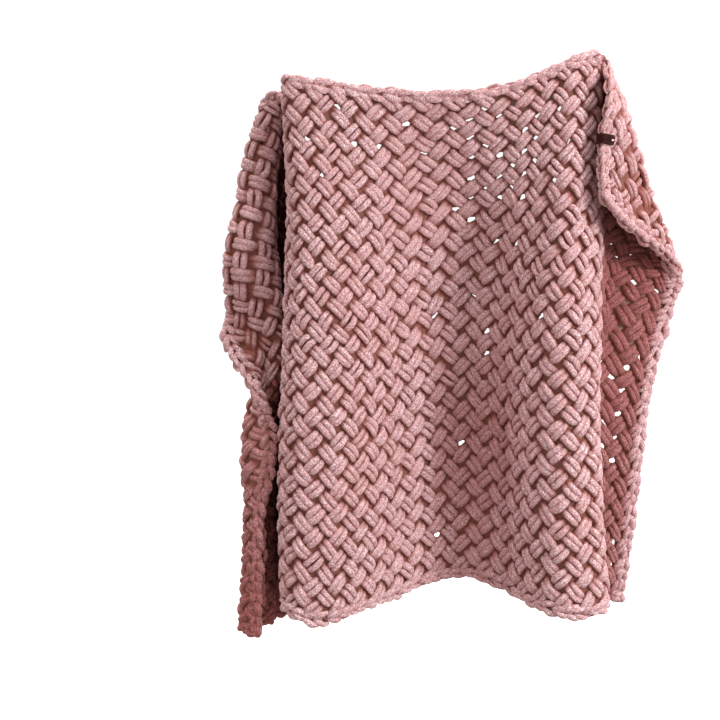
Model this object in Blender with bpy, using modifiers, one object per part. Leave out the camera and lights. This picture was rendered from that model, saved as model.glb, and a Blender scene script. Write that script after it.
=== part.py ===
"""Chunky knit blanket, held up by its top edge and hanging in its own folds.

One thick hand-knit cloth, 1.76 m across and 1.32 m down, with a wide front panel, a
pleat behind each end of the panel, the left corner fallen behind its flap and the right
corner turned forward as a lapel, and a leather tab riveted over the top edge.

Units are metres and +Z is up. X runs across the panel and Y runs away from its face.
The origin is on the top edge, half way between the two places where it is held.
"""

import math

import bmesh
import bpy
import numpy as np
from mathutils import Matrix, Vector
from mathutils.bvhtree import BVHTree

# Driving dimensions of the cloth
WIDTH = 1.76
HEIGHT = 1.32
THICKNESS = 0.025
COLUMNS = 54
ROWS = 40
RIM_BEVEL = 0.006

# The leather tab, on two cells of the cloth's grid, and its rivet
TAB_COLUMN = 49
TAB_ROWS = 2
TAB_ALONG_EDGE = 0.025
TAB_REACH = 0.028
TAB_LEATHER = 0.002
TAB_EDGE_GAP = 0.008
TAB_FACE_GAP = 0.0011
TAB_WIDTH_STEPS = 4
TAB_LEG_STEPS = 8
TAB_END_CORNER = 0.004
TAB_TURN_STEPS = 5
SEAT_GAP = 0.0006
RIVET_RADIUS = 0.0032
RIVET_HEIGHT = 0.0016
RIVET_FROM_END = 0.006

# How finely the drape is worked out before the cloth's own grid is laid on it
DRAPE_STEP = 0.01
DRAPE_SOFTNESS = 0.012

# The folds, from the left selvage to the right one. Each row is one level down the
# cloth: how far down it is (v), how far across the cloth the fold lies there (u), and
# where that point of the cloth hangs (x, y, z).
FOLDS = {
    "left selvage": (
        (0.00, 0.000, -0.200, 0.235, -0.280),
        (0.15, 0.000, -0.318, 0.235, -0.370),
        (0.32, 0.000, -0.466, 0.215, -0.480),
        (0.47, 0.000, -0.556, 0.130, -0.600),
        (0.60, 0.000, -0.492, 0.068, -0.705),
        (0.66, 0.000, -0.462, 0.038, -0.745),
        (0.72, 0.000, -0.436, 0.040, -0.780),
        (1.00, 0.000, -0.443, 0.032, -1.050),
        (1.32, 0.000, -0.452, 0.030, -1.352),
    ),
    "left outer fold, first side": (
        (0.00, 0.360, -0.442, 0.128, -0.052),
        (0.15, 0.245, -0.495, 0.140, -0.195),
        (0.23, 0.168, -0.511, 0.146, -0.304),
        (0.32, 0.095, -0.540, 0.148, -0.425),
        (0.47, 0.045, -0.524, 0.120, -0.575),
        (0.60, 0.045, -0.468, 0.092, -0.682),
        (0.72, 0.050, -0.470, 0.056, -0.785),
        (1.00, 0.050, -0.475, 0.050, -1.060),
        (1.32, 0.060, -0.490, 0.045, -1.345),
    ),
    "left outer fold, second side": (
        (0.00, 0.415, -0.440, 0.062, -0.002),
        (0.15, 0.300, -0.500, 0.082, -0.172),
        (0.23, 0.223, -0.516, 0.090, -0.280),
        (0.32, 0.150, -0.545, 0.095, -0.400),
        (0.47, 0.095, -0.487, 0.112, -0.545),
        (0.60, 0.095, -0.443, 0.120, -0.662),
        (0.72, 0.105, -0.472, 0.106, -0.790),
        (1.00, 0.105, -0.480, 0.104, -1.065),
        (1.32, 0.120, -0.492, 0.105, -1.345),
    ),
    "left lip": (
        (0.00, 0.450, -0.410, 0.048, 0.004),
        (0.15, 0.376, -0.420, 0.085, -0.140),
        (0.32, 0.270, -0.432, 0.105, -0.338),
        (0.47, 0.170, -0.418, 0.108, -0.505),
        (0.60, 0.130, -0.414, 0.114, -0.645),
        (0.72, 0.150, -0.428, 0.108, -0.772),
        (1.00, 0.148, -0.438, 0.108, -1.055),
        (1.32, 0.168, -0.446, 0.112, -1.345),
    ),
    "left pocket, first side": (
        (0.00, 0.485, -0.400, 0.074, 0.006),
        (0.15, 0.424, -0.424, 0.128, -0.130),
        (0.32, 0.340, -0.438, 0.172, -0.328),
        (0.47, 0.250, -0.427, 0.180, -0.490),
        (0.60, 0.212, -0.423, 0.195, -0.625),
        (0.72, 0.234, -0.436, 0.190, -0.755),
        (1.00, 0.222, -0.440, 0.175, -1.035),
        (1.32, 0.228, -0.440, 0.160, -1.340),
    ),
    "left pocket, second side": (
        (0.00, 0.520, -0.366, 0.076, 0.010),
        (0.15, 0.470, -0.378, 0.132, -0.124),
        (0.32, 0.397, -0.386, 0.180, -0.312),
        (0.47, 0.307, -0.375, 0.190, -0.475),
        (0.60, 0.270, -0.371, 0.205, -0.605),
        (0.72, 0.294, -0.381, 0.200, -0.735),
        (1.00, 0.285, -0.384, 0.185, -1.010),
        (1.32, 0.290, -0.384, 0.170, -1.330),
    ),
    "left panel fold": (
        (0.00, 0.590, -0.384, -0.005, 0.031),
        (0.15, 0.575, -0.374, 0.000, -0.118),
        (0.47, 0.530, -0.367, 0.005, -0.435),
        (0.72, 0.505, -0.376, 0.005, -0.685),
        (1.00, 0.500, -0.384, 0.005, -0.965),
        (1.32, 0.500, -0.380, 0.005, -1.280),
    ),
    "left ridge": (
        (0.00, 0.640, -0.338, -0.020, 0.028),
        (0.32, 0.635, -0.305, -0.030, -0.295),
        (0.72, 0.620, -0.285, -0.030, -0.700),
        (1.32, 0.620, -0.282, -0.030, -1.305),
    ),
    "left brow": (
        (0.00, 0.700, -0.280, -0.020, 0.020),
        (0.32, 0.695, -0.245, -0.020, -0.300),
        (0.72, 0.680, -0.226, -0.018, -0.700),
        (1.32, 0.680, -0.226, -0.012, -1.290),
    ),
    "left slope": (
        (0.00, 0.855, -0.131, -0.005, 0.001),
        (0.32, 0.850, -0.110, 0.055, -0.310),
        (0.72, 0.850, -0.100, 0.105, -0.700),
        (1.32, 0.850, -0.102, 0.115, -1.268),
    ),
    "valley": (
        (0.00, 0.989, 0.000, 0.000, 0.000),
        (0.32, 0.989, 0.012, 0.110, -0.292),
        (0.72, 0.989, 0.018, 0.170, -0.675),
        (1.32, 0.989, 0.016, 0.190, -1.244),
    ),
    "right slope": (
        (0.00, 1.130, 0.137, -0.010, 0.008),
        (0.32, 1.134, 0.145, 0.065, -0.295),
        (0.72, 1.140, 0.155, 0.120, -0.680),
        (1.32, 1.144, 0.165, 0.125, -1.256),
    ),
    "right brow": (
        (0.00, 1.260, 0.262, -0.020, 0.048),
        (0.32, 1.270, 0.250, -0.010, -0.272),
        (0.72, 1.284, 0.238, 0.000, -0.675),
        (1.32, 1.284, 0.250, 0.000, -1.278),
    ),
    "right ridge": (
        (0.00, 1.355, 0.352, -0.018, 0.085),
        (0.32, 1.380, 0.348, -0.030, -0.245),
        (0.72, 1.396, 0.345, -0.030, -0.660),
        (1.32, 1.396, 0.358, -0.030, -1.288),
    ),
    "right panel fold": (
        (0.00, 1.395, 0.386, 0.002, 0.094),
        (0.15, 1.405, 0.380, 0.004, -0.060),
        (0.47, 1.435, 0.381, 0.005, -0.390),
        (0.72, 1.450, 0.383, 0.005, -0.650),
        (1.00, 1.460, 0.387, 0.005, -0.940),
        (1.32, 1.460, 0.406, 0.005, -1.280),
    ),
    "right gap fold": (
        (0.00, 1.410, 0.398, 0.015, 0.092),
        (0.15, 1.455, 0.402, 0.060, -0.070),
        (0.34, 1.495, 0.408, 0.095, -0.260),
        (0.50, 1.530, 0.418, 0.110, -0.420),
        (0.72, 1.560, 0.398, 0.122, -0.655),
        (1.00, 1.580, 0.388, 0.135, -0.950),
        (1.32, 1.585, 0.400, 0.135, -1.285),
    ),
    "right outer fold, first side": (
        (0.00, 1.430, 0.410, 0.018, 0.080),
        (0.15, 1.530, 0.474, 0.078, -0.105),
        (0.24, 1.600, 0.510, 0.108, -0.233),
        (0.34, 1.670, 0.568, 0.140, -0.370),
        (0.50, 1.660, 0.535, 0.132, -0.455),
        (0.72, 1.660, 0.490, 0.150, -0.675),
        (1.00, 1.660, 0.450, 0.175, -0.965),
        (1.32, 1.660, 0.430, 0.195, -1.298),
    ),
    "right outer fold, second side": (
        (0.00, 1.470, 0.413, -0.029, 0.036),
        (0.15, 1.588, 0.484, 0.015, -0.140),
        (0.24, 1.651, 0.525, 0.059, -0.264),
        (0.34, 1.718, 0.590, 0.110, -0.398),
        (0.50, 1.708, 0.576, 0.140, -0.475),
        (0.72, 1.708, 0.528, 0.158, -0.685),
        (1.00, 1.708, 0.487, 0.175, -0.975),
        (1.32, 1.708, 0.452, 0.220, -1.305),
    ),
    "lapel": (
        (0.00, 1.605, 0.391, -0.059, -0.118),
        (0.15, 1.670, 0.482, 0.000, -0.235),
        (0.34, 1.740, 0.597, 0.108, -0.412),
        (0.50, 1.734, 0.594, 0.144, -0.485),
        (0.72, 1.734, 0.542, 0.164, -0.695),
        (1.00, 1.734, 0.504, 0.178, -0.980),
        (1.32, 1.734, 0.467, 0.226, -1.309),
    ),
    "right selvage": (
        (0.00, 1.760, 0.392, -0.075, -0.268),
        (0.15, 1.760, 0.478, -0.015, -0.345),
        (0.34, 1.760, 0.604, 0.105, -0.425),
        (0.50, 1.760, 0.612, 0.148, -0.495),
        (0.72, 1.760, 0.555, 0.170, -0.705),
        (1.00, 1.760, 0.521, 0.182, -0.990),
        (1.32, 1.760, 0.482, 0.232, -1.312),
    ),
}


def smooth_curve(at, knots, values):
    """A curve through the values at the knots, with the slope of its neighbours at each."""
    steps = np.diff(knots)
    rises = np.diff(values, axis=0) / steps[:, None]
    slopes = np.empty_like(values)
    weight = (steps[1:] / (steps[:-1] + steps[1:]))[:, None]
    slopes[1:-1] = rises[:-1] * weight + rises[1:] * (1 - weight)
    slopes[0] = rises[0]
    slopes[-1] = rises[-1]
    cell = np.clip(np.searchsorted(knots, at, side="right") - 1, 0, len(steps) - 1)
    step = steps[cell][:, None]
    part = (at[:, None] - knots[cell][:, None]) / step
    start = values[cell] + part * step * slopes[cell]
    back = part - 1
    end = values[cell + 1] + back * step * slopes[cell + 1]
    ease = part * part * (3 - 2 * part)
    return start * (1 - ease) + end * ease


def soften(points, spread, axis):
    """The points averaged with their neighbours along one axis, the edges kept in place."""
    reach = 3 * max(1, round(spread))
    offsets = np.arange(-reach, reach + 1)
    weights = np.exp(-0.5 * (offsets / spread) ** 2)
    weights /= weights.sum()
    points = np.moveaxis(points, axis, 0)
    before = 2 * points[:1] - points[reach:0:-1]
    after = 2 * points[-1:] - points[-2 : -reach - 2 : -1]
    padded = np.concatenate([before, points, after])
    count = len(points)
    total = sum(w * padded[i : i + count] for i, w in enumerate(weights))
    return np.moveaxis(total, 0, axis)


def drape():
    """The middle of the cloth, as points at even steps across (first axis) and down."""
    across = np.linspace(0, WIDTH, round(WIDTH / DRAPE_STEP) + 1)
    down = np.linspace(0, HEIGHT, round(HEIGHT / DRAPE_STEP) + 1)
    lines = []
    for rows in FOLDS.values():
        table = np.array(rows)
        lines.append(smooth_curve(down, table[:, 0], table[:, 1:]))
    lines = np.array(lines)
    sections = []
    for level in range(len(down)):
        fold_u = lines[:, level, 0]
        sections.append(smooth_curve(across, fold_u, lines[:, level, 1:]))
    points = np.array(sections).transpose(1, 0, 2)
    points = soften(points, DRAPE_SOFTNESS / DRAPE_STEP, 0)
    return soften(points, 2 * DRAPE_SOFTNESS / DRAPE_STEP, 1)


def clear_scene():
    for item in list(bpy.data.objects):
        bpy.data.objects.remove(item, do_unlink=True)


def make_material(name, color, roughness, metallic=0.0):
    material = bpy.data.materials.new(name)
    material.use_nodes = True
    shader = material.node_tree.nodes["Principled BSDF"]
    shader.inputs["Base Color"].default_value = (*color, 1.0)
    shader.inputs["Roughness"].default_value = roughness
    shader.inputs["Metallic"].default_value = metallic
    return material


def add_object(name, mesh, collection, material):
    item = bpy.data.objects.new(name, mesh)
    collection.objects.link(item)
    mesh.materials.append(material)
    return item


def sample(points, columns, rows):
    """The drape's points at an even grid of columns across and rows down."""
    i = np.linspace(0, points.shape[0] - 1, columns + 1)
    j = np.linspace(0, points.shape[1] - 1, rows + 1)
    low_i = np.minimum(i.astype(int), points.shape[0] - 2)
    low_j = np.minimum(j.astype(int), points.shape[1] - 2)
    a = (i - low_i)[:, None, None]
    b = (j - low_j)[None, :, None]
    near = points[low_i] * (1 - a) + points[low_i + 1] * a
    return near[:, low_j] * (1 - b) + near[:, low_j + 1] * b


def blanket(cage, collection, material):
    """The whole cloth: a grid laid on the drape, thickened, with its rim rounded."""
    shape = bmesh.new()
    bmesh.ops.create_grid(shape, x_segments=COLUMNS, y_segments=ROWS, size=1)
    for vertex in shape.verts:
        column = round((vertex.co.x + 1) / 2 * COLUMNS)
        row = round((1 - vertex.co.y) / 2 * ROWS)
        vertex.co = cage[column, row]
    halves = {"FIXED": [], "ALTERNATE": []}
    for face in shape.faces:
        left = face.calc_center_median().x < cage[COLUMNS // 2, 0, 0]
        halves["FIXED" if left else "ALTERNATE"].append(face)
    for method, faces in halves.items():
        bmesh.ops.triangulate(shape, faces=faces, quad_method=method)
    mesh = bpy.data.meshes.new("blanket")
    shape.to_mesh(mesh)
    shape.free()
    mesh.shade_smooth()
    item = add_object("blanket", mesh, collection, material)
    shell = item.modifiers.new("thickness", "SOLIDIFY")
    shell.thickness = THICKNESS
    shell.offset = 0
    rim = item.modifiers.new("rim", "BEVEL")
    rim.limit_method = "ANGLE"
    rim.angle_limit = math.radians(60)
    rim.width = RIM_BEVEL
    rim.segments = 1
    return item


def edge_frame(cage, column):
    """Where the tab sits on the top edge: the middle of one cell of the cloth's grid, with
    the ways along the edge, into the cloth and out of its back."""
    rim = Vector(cage[column : column + 2, 0].mean(axis=0))
    along = Vector(cage[column + 1, 0] - cage[column, 0]).normalized()
    inward = Vector(cage[column : column + 2, TAB_ROWS].mean(axis=0)) - rim
    inward = (inward - inward.dot(along) * along).normalized()
    frame = Matrix((along, inward, along.cross(inward))).transposed().to_4x4()
    frame.translation = rim
    return frame


def leather_height(tree, frame, x, y, side):
    """How far the tab's middle lies from the frame's plane, resting on the cloth; side is
    1 on the cloth's back and -1 on its face."""
    start = frame @ Vector((x, y, side * THICKNESS))
    downward = (frame.to_3x3() @ Vector((0, 0, -side))).normalized()
    hit = tree.ray_cast(start, downward)[0]
    return (frame.inverted() @ hit).z + side * (TAB_FACE_GAP + TAB_LEATHER / 2)


def leather_tab(tree, frame, collection, material):
    """A strip folded over the edge: down the back of the cloth, round, and down its face."""
    bend = TAB_EDGE_GAP + TAB_LEATHER / 2
    leg = [TAB_REACH * (1 - step / TAB_LEG_STEPS) for step in range(TAB_LEG_STEPS)]
    turns = np.linspace(0, math.pi, 2 * TAB_TURN_STEPS - 1)
    profile = [(y, 0) for y in leg] + [(0, turn) for turn in turns]
    profile += [(y, math.pi) for y in reversed(leg)]
    shape = bmesh.new()
    bmesh.ops.create_grid(shape, x_segments=TAB_WIDTH_STEPS, y_segments=len(profile) - 1, size=1)
    for vertex in shape.verts:
        y, turn = profile[round((1 - vertex.co.y) / 2 * (len(profile) - 1))]
        corner = TAB_END_CORNER if y == TAB_REACH else 0
        x = vertex.co.x * (TAB_ALONG_EDGE / 2 - corner)
        side = 1 if turn < math.pi / 2 else -1
        rest = leather_height(tree, frame, x, max(y, leg[-1]), side)
        vertex.co = (x, y - bend * math.sin(turn), rest * abs(math.cos(turn)))
    mesh = bpy.data.meshes.new("label")
    shape.to_mesh(mesh)
    shape.free()
    item = add_object("label", mesh, collection, material)
    item.matrix_world = frame
    leather = item.modifiers.new("leather", "SOLIDIFY")
    leather.thickness = TAB_LEATHER
    leather.offset = 0
    return item


def rivet(name, tree, frame, side, collection, material):
    """One head of the tab's rivet, seated flat on the leather."""
    shape = bmesh.new()
    bmesh.ops.create_cone(
        shape,
        cap_ends=True,
        segments=24,
        radius1=RIVET_RADIUS,
        radius2=RIVET_RADIUS * 0.7,
        depth=RIVET_HEIGHT,
    )
    mesh = bpy.data.meshes.new(name)
    shape.to_mesh(mesh)
    shape.free()
    mesh.shade_smooth()
    mesh.set_sharp_from_angle(angle=math.radians(40))
    item = add_object(name, mesh, collection, material)
    y = TAB_REACH - RIVET_FROM_END
    spread = RIVET_RADIUS
    left = leather_height(tree, frame, -spread, y, side)
    right = leather_height(tree, frame, spread, y, side)
    near = leather_height(tree, frame, 0, y - spread, side)
    far = leather_height(tree, frame, 0, y + spread, side)
    out = Vector((left - right, near - far, 2 * spread)).normalized() * side
    seat = Vector((0, y, (left + right + near + far) / 4))
    lift = TAB_LEATHER / 2 + SEAT_GAP + RIVET_HEIGHT / 2
    turn = out.to_track_quat("Z", "Y").to_matrix().to_4x4()
    item.matrix_world = frame @ Matrix.Translation(seat + out * lift) @ turn
    return item


def main():
    clear_scene()
    collection = bpy.data.collections.new("chunky knit blanket")
    bpy.context.scene.collection.children.link(collection)
    chenille = make_material("rose chenille", (0.55, 0.30, 0.29), 0.95)
    leather = make_material("dark brown leather", (0.045, 0.018, 0.012), 0.55)
    metal = make_material("nickel", (0.62, 0.58, 0.54), 0.3, 1.0)
    cage = sample(drape(), COLUMNS, ROWS)
    cloth = blanket(cage, collection, chenille)
    bpy.context.view_layer.update()
    tree = BVHTree.FromObject(cloth, bpy.context.evaluated_depsgraph_get())
    frame = edge_frame(cage, TAB_COLUMN)
    leather_tab(tree, frame, collection, leather)
    rivet("rivet_back", tree, frame, 1, collection, metal)
    rivet("rivet_face", tree, frame, -1, collection, metal)


main()
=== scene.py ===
"""The looks of the chunky knit blanket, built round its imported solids.

The cloth is worked in pairs of fat chenille strands that run both ways on the diagonal and
pass over and under each other, with a chain along each edge. Every strand is a tube laid
along the drape, which is worked out here from the same table of folds as the solid.

Units are metres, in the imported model's frame: X across the panel, Y away from its face and
Z up. A place on the cloth is given as (u, v): u across from the left selvage, v down from
the top edge. Height is measured off the middle of the cloth, towards its face.
"""

import math

import bpy
import numpy as np
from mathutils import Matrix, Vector


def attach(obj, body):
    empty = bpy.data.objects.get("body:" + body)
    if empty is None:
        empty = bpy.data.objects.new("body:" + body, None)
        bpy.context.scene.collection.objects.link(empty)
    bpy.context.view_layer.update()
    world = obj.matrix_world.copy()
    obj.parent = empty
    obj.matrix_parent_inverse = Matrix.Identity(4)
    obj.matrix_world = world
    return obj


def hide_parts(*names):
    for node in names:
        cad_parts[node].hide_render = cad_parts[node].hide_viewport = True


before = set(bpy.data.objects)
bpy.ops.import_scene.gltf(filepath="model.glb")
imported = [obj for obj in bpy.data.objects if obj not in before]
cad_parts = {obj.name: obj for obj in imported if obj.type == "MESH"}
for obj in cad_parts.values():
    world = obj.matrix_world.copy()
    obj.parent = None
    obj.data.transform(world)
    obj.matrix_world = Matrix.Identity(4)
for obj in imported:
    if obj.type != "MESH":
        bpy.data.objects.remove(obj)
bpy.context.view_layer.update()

# The cloth and its solid's thickness
WIDTH = 1.76
HEIGHT = 1.32
THICKNESS = 0.025

# How finely the drape is worked out, as for the solid
DRAPE_STEP = 0.01
DRAPE_SOFTNESS = 0.012
MARGIN_STEPS = 4

# Where the knit is bunched together across, or drawn apart below 0: how much, where its
# middle lies and how far it reaches. The last two fade away between two levels down.
BUNCHED_ACROSS = ((0.22, 0.20, 0.16), (0.20, 0.66, 0.09), (0.20, 1.31, 0.09))
DRAWN_ACROSS = (-0.22, 0.99, 0.22)
DRAWN_FADES = (0.40, 0.80)
BUNCHED_LAPEL = (0.42, 1.69, 0.055)
LAPEL_FADES = (0.30, 0.55)

# The same down the middle of the panel: bunched from the top edge, how much and how far,
# and drawn apart, how much, from what level on and how softly it starts
MIDDLE_OF_PANEL = 1.08
BUNCHED_DOWN = (0.28, 0.13)
BUNCHED_DOWN_REACH = 0.25
DRAWN_DOWN = (-0.11, 0.45, 0.08)
DRAWN_DOWN_REACH = 0.16
UNBUNCH_ROUNDS = 8

# The knit: how often a stitch comes back across and down, and the size of one repeat.
# Along a pair of strands, a crossing comes every half repeat, a run of fewer crossings than
# the least is left out, and the strands end this far in from the edge.
REPEATS_ACROSS = 28.5
REPEATS_DOWN = 22.5
CELL_U = WIDTH / REPEATS_ACROSS
CELL_V = HEIGHT / REPEATS_DOWN
STEPS_PER_CROSSING = 7
LEAST_CROSSINGS = 0.6
EDGE_INSET = 0.010
SEED = 41

# A strand's radii, and how its width follows the room that its stitch has, within limits
STRAND_SIDES = 10
STRAND_WIDE = 0.0091
STRAND_THICK = 0.0084
ROOM = (0.72, 1.25)
ROOM_POWER = 1.1

# A strand's tips: how far past its path they reach, and their size, as shares of its radius
TIP_REACH = 0.6
TIP_SIZE = 0.5

# How uneven a strand's surface is, and how far along itself its grain may start
LUMPS = 0.035
GRAIN_START = 50

# A pair: half the distance between its strands, by what share they close up before and
# after each place where it passes over, how far from that place they do and how fast the
# one share gives way to the other, in crossings, and how far the pair leans out of line
PAIR_HALF = {"rising": 0.0079, "falling": 0.0077}
PINCH_BEFORE = {"rising": 0.16, "falling": 0.04}
PINCH_AFTER = {"rising": 0.18, "falling": 0.20}
PINCH_REACH = (0.15, 0.60)
PINCH_TURN = (-0.3, 0.3)
LEAN = {"rising": -0.0008, "falling": 0.0019}

# How a pair passes over and under: how high, how flat its tops are, how much lower than
# even it runs, and how far past the crossing its tops lie
WAVE = 0.0080
WAVE_FLATNESS = 1.6
WAVE_SINK = 0.06
WAVE_LAG = {"rising": -0.05, "falling": 0.07}

# What share of its height a pair keeps at the cloth's edge, and how far in it gains the rest
SETTLED = 0.45
SETTLE_REACH = (0.010, 0.045)

# How uneven the hand is, from crossing to crossing: how far a pair drifts aside, and how
# many times more where it passes under, and how its loft and timing vary
DRIFT = 0.0014
DRIFT_UNDER = 1.4
UNEVEN_LOFT = 0.08
UNEVEN_TIMING = 0.045

# How far a pair rolls about its own middle where it passes under, in radians, and what
# share of that shows as one strand standing above the other
ROLL = 0.75
ROLL_RISE = 0.5

# How uneven each strand of a pair is: its fatness from crossing to crossing and from step
# to step, and how far it wanders aside
UNEVEN_FAT = 0.07
UNEVEN_STEP = 0.022
WANDER = 0.0010

# How far the yarn's painted shade lightens as it stands out of the knit: by its path's height,
# and by its own roundness, so that its sides and its parts down in the knit are painted
# darker.
# Within the turn, a strand's surface faces neither side of the cloth.
SHADE_BY_HEIGHT = 1.5
SHADE_BY_RISE = 0.6
SIDE_TURN = (-0.3, 0.3)

# The chain along each edge: how often a link comes and where it starts, how far its painted
# shade is lifted, as it lies clear of the knit, and, for the hem and the selvage, its inset,
# how far its two limbs spread, and a limb's radius and height
LINK = 0.0285
LINK_START = -0.004
EDGE_SHADE_LIFT = 0.75
HEM_CHAIN = (0.0105, 0.0078, 0.0078, 0.0042)
SELVAGE_CHAIN = (0.0115, 0.0086, 0.0084, 0.0044)

# A limb of a link: what share of its spread it has at its root and by where it opens, how
# far its middle rises and its ends sink, its ends' size and how fast it thins towards them,
# and its thickness as a share of its width
LIMB_LENGTH = 0.039
LIMB_STEPS = 9
LIMB_SIDES = 9
LIMB_ROOT = 0.3
LIMB_OPENS_BY = 0.75
LIMB_RISE = 0.0030
LIMB_SINK = 0.0036
LIMB_END_SIZE = 0.52
LIMB_END_POWER = 0.7
LIMB_THICK = 0.88

# How uneven the chain is: a link's place and opening, then a limb's fatness as a whole and
# from step to step, its place and its height
UNEVEN_LINK = 0.0030
UNEVEN_OPENING = 0.25
UNEVEN_LIMB = 0.14
UNEVEN_LIMB_STEP = 0.05
UNEVEN_LIMB_PLACE = 0.0014
UNEVEN_LIMB_HEIGHT = 0.0014

# The ground behind the strands, in parts of a repeat, open where the knit is stretched
GROUND_PARTS = 4
GROUND_INSET = 0.008
GROUND_HEIGHT = -0.0015
GROUND_THICKNESS = 0.003

# Where the knit is pulled open: middle (u, v), reach across and down, and how surely
STRETCHED = (
    (1.15, 0.18, 0.16, 0.20, 0.70),
    (0.76, 0.13, 0.14, 0.09, 0.25),
    (1.18, 0.62, 0.15, 0.34, 0.20),
    (1.60, 0.85, 0.10, 0.36, 0.85),
    (0.45, 0.35, 0.05, 0.35, 0.60),
)

# Where the cloth is crumpled, so that its strands stray: middle (u, v), reach across and
# down, how many times as far they stray across their run, and how far off the cloth. There
# the yarn's painted shade is deepened too.
CRUMPLED = (
    (1.70, 0.24, 0.10, 0.20, 1.9, 0.0028),
    (0.04, 0.62, 0.10, 0.20, 1.8, 0.0020),
)
CRUMPLED_SHADE_LIFT = -0.44

# Painted shade over the deep folds and a few other stretches, on the face of the cloth and on
# its reverse. Each row is one level down the cloth: how far down it is (v), from where and to
# where across the fold runs there (u), and how deep its shade is. Each fold's sides are soft.
FOLD_SHADE_EDGE = 0.035
PAINTED_FOLD_SHADE = {
    "face": (
        (
            (0.00, 0.475, 0.550, 1.00),
            (0.15, 0.405, 0.535, 1.00),
            (0.32, 0.305, 0.510, 1.00),
            (0.47, 0.205, 0.485, 1.00),
            (0.60, 0.125, 0.470, 1.00),
            (0.72, 0.115, 0.455, 1.00),
            (1.00, 0.115, 0.450, 0.90),
            (1.32, 0.130, 0.450, 0.45),
        ),
        (
            (0.00, 1.392, 1.445, 1.00),
            (0.15, 1.415, 1.560, 0.95),
            (0.26, 1.430, 1.660, 0.60),
            (0.47, 1.455, 1.735, 0.47),
            (0.72, 1.470, 1.740, 0.41),
            (1.00, 1.475, 1.740, 0.37),
            (1.32, 1.475, 1.740, 0.34),
        ),
        (
            (0.10, 0.900, 1.240, 0.00),
            (0.50, 0.910, 1.230, 0.00),
            (0.90, 0.920, 1.220, 0.24),
            (1.32, 0.930, 1.210, 0.16),
        ),
    ),
    "reverse": (
        (
            (0.50, -0.100, 0.150, 0.00),
            (0.80, -0.100, 0.150, 0.28),
            (1.32, -0.100, 0.150, 0.46),
        ),
        (
            (0.00, 1.550, 1.860, 0.12),
            (0.45, 1.550, 1.860, 0.12),
            (0.60, 1.550, 1.860, 0.00),
        ),
    ),
}

# Colours
# Painted shade: the colour of the yarn's sides and of its parts down in the knit
CHENILLE_CREVICE_SHADE = (0.300, 0.102, 0.081, 1.0)
CHENILLE_SHADE = (0.290, 0.104, 0.090, 1.0)
CHENILLE_BODY = (0.465, 0.221, 0.212, 1.0)
CHENILLE_TIPS = (0.955, 0.752, 0.795, 1.0)
CHENILLE_WARM = (0.570, 0.275, 0.270, 1.0)
# Painted shade, multiplied in over the folds: lighter and darker
FOLD_SHADE_WARM = (0.510, 0.278, 0.256, 1.0)
FOLD_SHADE_DARK = (0.130, 0.040, 0.032, 1.0)
GROUND_DARK = (0.275, 0.108, 0.080, 1.0)
GROUND_PALE = (0.340, 0.230, 0.165, 1.0)
PILE_SHEEN = (1.0, 0.82, 0.81, 1.0)
LEATHER_DARK = (0.016, 0.002, 0.002, 1.0)
LEATHER_BROWN = (0.030, 0.005, 0.004, 1.0)
LEATHER_WORN = (0.05, 0.018, 0.012, 1.0)
NICKEL_CLEAN = (0.30, 0.25, 0.20, 1.0)
NICKEL_TARNISHED = (0.18, 0.14, 0.11, 1.0)
WHITE = (1.0, 1.0, 1.0, 1.0)
FLOOR_LIGHT = (0.94, 0.94, 0.94, 1.0)
FLOOR_SHADE = (0.91, 0.91, 0.91, 1.0)

# How much closer the pile's tufts lie along a strand than round it
RINGS_ALONG = (1.25, 1.0, 1.0)

# The inputs of a map range node that hold its ends and its results
RANGE_INPUTS = ("From Min", "From Max", "To Min", "To Max")

# The floor's height and half its width
FLOOR_Z = -1.611
FLOOR_HALF = 30.0

# Light. The surround is white to the eye, dim all round and bright overhead. Each lamp has
# its place, what it is aimed at, its size, power and colour.
SURROUND_SEEN = 1.05
SURROUND_TINT = (1.0, 0.93, 0.91, 1.0)
SURROUND_LOW = 0.52
SURROUND_HIGH = 0.79
OVERHEAD = 2.8
OVERHEAD_SINE = 0.82
OVERHEAD_EDGE = 0.03
LIGHTS = (
    ("key", (3.15, -2.20, 0.25), (0.0, 0.0, -0.6), 1.1, 120.0, (0.98, 1.0, 1.02)),
    ("back", (-3.2, 4.2, 1.2), (0.0, 0.0, -0.6), 2.5, 110.0, (1.0, 0.99, 0.98)),
)

# The camera of the photograph's frame, in its pixels
PHOTO_PIXELS = 720
CAMERA_FOCAL_PIXELS = 1143
CAMERA_CENTRE = (440, 320)
CAMERA_PLACE = (0, -2.83, -0.564)
SENSOR_WIDTH = 36.0

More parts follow.
